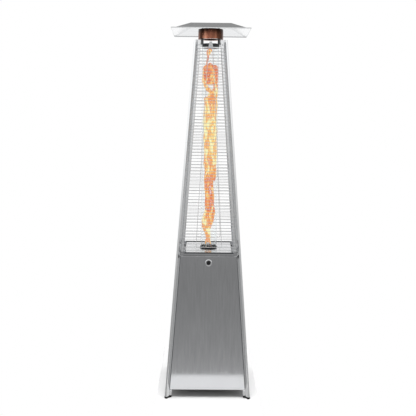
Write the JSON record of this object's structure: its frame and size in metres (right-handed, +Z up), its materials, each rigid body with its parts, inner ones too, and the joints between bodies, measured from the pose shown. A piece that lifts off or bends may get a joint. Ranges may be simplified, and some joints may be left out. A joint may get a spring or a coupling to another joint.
{
  "type": "patio heater",
  "caption": "Free-standing pyramid gas patio heater: steel-clad cabinet, tall glass flame tube behind wire guards, flame screen and shallow square hood.",
  "frame": {"origin": "on the floor, at the centre of the footprint's box, rear wheels included", "axes": "+Z up, the door and the heater's front face -Y, +X to the right seen from the front"},
  "size_m": [0.526, 0.569, 2.238],
  "materials": {
    "panel_steel": "stainless sheet with a fine upright brush grain",
    "rail_steel": "bright rolled stainless, brushed along its length",
    "wire_steel": "bright drawn stainless wire and small hardware",
    "hood_steel": "stainless sheet, brushed above, bright below",
    "copper_screen": "copper-coloured, heat-tinted polished sheet",
    "copper_pipe": "drawn copper",
    "brass": "turned brass",
    "black_enamel": "heat-proof satin black",
    "black_plastic": "moulded, fine texture",
    "red_plastic": "moulded, glossy",
    "tube_glass": "clear borosilicate",
    "seal_silicone": "heat-proof silicone",
    "electrode_ceramic": "fired ceramic sleeve",
    "wheel_rubber": "solid black wheel",
    "flame": "burning gas, looks only"
  },
  "bodies": {
    "cabinet_and_tower": {"shoe_front_left": "black_plastic", "shoe_front_right": "black_plastic", "shoe_rear_right": "black_plastic", "shoe_rear_left": "black_plastic", "lower_rail_front_left": "rail_steel", "lower_rail_front_right": "rail_steel", "lower_rail_rear_right": "rail_steel", "lower_rail_rear_left": "rail_steel", "upper_rail_front_left": "rail_steel", "upper_rail_front_right": "rail_steel", "upper_rail_rear_right": "rail_steel", "upper_rail_rear_left": "rail_steel", "base_tray": "panel_steel", "deck_frame": "panel_steel", "burner_deck": "panel_steel", "rear_panel": "panel_steel", "left_panel": "panel_steel", "right_panel": "panel_steel", "door_pivot_top": "wire_steel", "door_pivot_bottom": "wire_steel", "control_plate": "black_enamel", "gas_valve": "brass", "igniter_body": "black_plastic", "inlet_nipple": "brass", "supply_pipe": "copper_pipe", "gas_injector": "brass", "mixing_tube": "wire_steel", "burner_head": "black_enamel", "glass_seat_ring": "black_enamel", "ignition_electrode": "electrode_ceramic", "flame_sensor": "copper_pipe", "tilt_switch": "black_plastic", "glass_tube": "tube_glass", "tube_seal": "seal_silicone", "top_plate": "rail_steel", "tube_collar": "black_enamel", "front_bracket": "wire_steel", "flame_screen": "copper_screen", "screen_cap": "hood_steel", "hood_spacer_front_left": "wire_steel", "hood_spacer_front_right": "wire_steel", "hood_spacer_rear_right": "wire_steel", "hood_spacer_rear_left": "wire_steel", "hood": "hood_steel", "guard_front": "wire_steel", "guard_right": "wire_steel", "guard_rear": "wire_steel", "guard_left": "wire_steel", "wheel_bracket": "black_enamel", "axle": "wire_steel"},
    "door": {"front_door": "panel_steel", "latch_bezel": "wire_steel"},
    "latch": {"latch_knob": "black_plastic", "latch_cam": "wire_steel"},
    "spindle": {"valve_spindle": "brass"},
    "knob": {"gas_knob": "black_plastic"},
    "igniter": {"igniter_button": "red_plastic"},
    "left_wheel": {"wheel_left": "wheel_rubber"},
    "right_wheel": {"wheel_right": "wheel_rubber"}
  },
  "joints": [
    {"name": "door_hinge", "type": "hinge", "parent": "cabinet_and_tower", "child": "door", "pos_m": [-0.19555, -0.22728, 0.45927], "axis": [-0.0747, -0.0747, -0.9944], "range_deg": [0, 100]},
    {"name": "latch_turn", "type": "hinge", "parent": "door", "child": "latch", "pos_m": [0, -0.20272, 0.82901], "axis": [0, -0.9972, 0.0749], "range_deg": [0, 90]},
    {"name": "valve_turn", "type": "hinge", "parent": "cabinet_and_tower", "child": "spindle", "pos_m": [0.032, 0.16752, 0.812], "axis": [0, 0.9972, 0.0749], "range_deg": [0, 200]},
    {"name": "knob_push", "type": "slide", "parent": "spindle", "child": "knob", "axis": [0, -0.9972, -0.0749], "range_m": [0, 0.004], "stiffness_N_per_m": 2500},
    {"name": "igniter_press", "type": "slide", "parent": "cabinet_and_tower", "child": "igniter", "axis": [0, -0.9972, -0.0749], "range_m": [0, 0.007], "stiffness_N_per_m": 1500},
    {"name": "left_wheel_spin", "type": "hinge", "parent": "cabinet_and_tower", "child": "left_wheel", "pos_m": [-0.1633, 0.2545, 0.033], "axis": [1, 0, 0], "continuous": true},
    {"name": "right_wheel_spin", "type": "hinge", "parent": "cabinet_and_tower", "child": "right_wheel", "pos_m": [0.1633, 0.2545, 0.033], "axis": [1, 0, 0], "continuous": true}
  ]
}
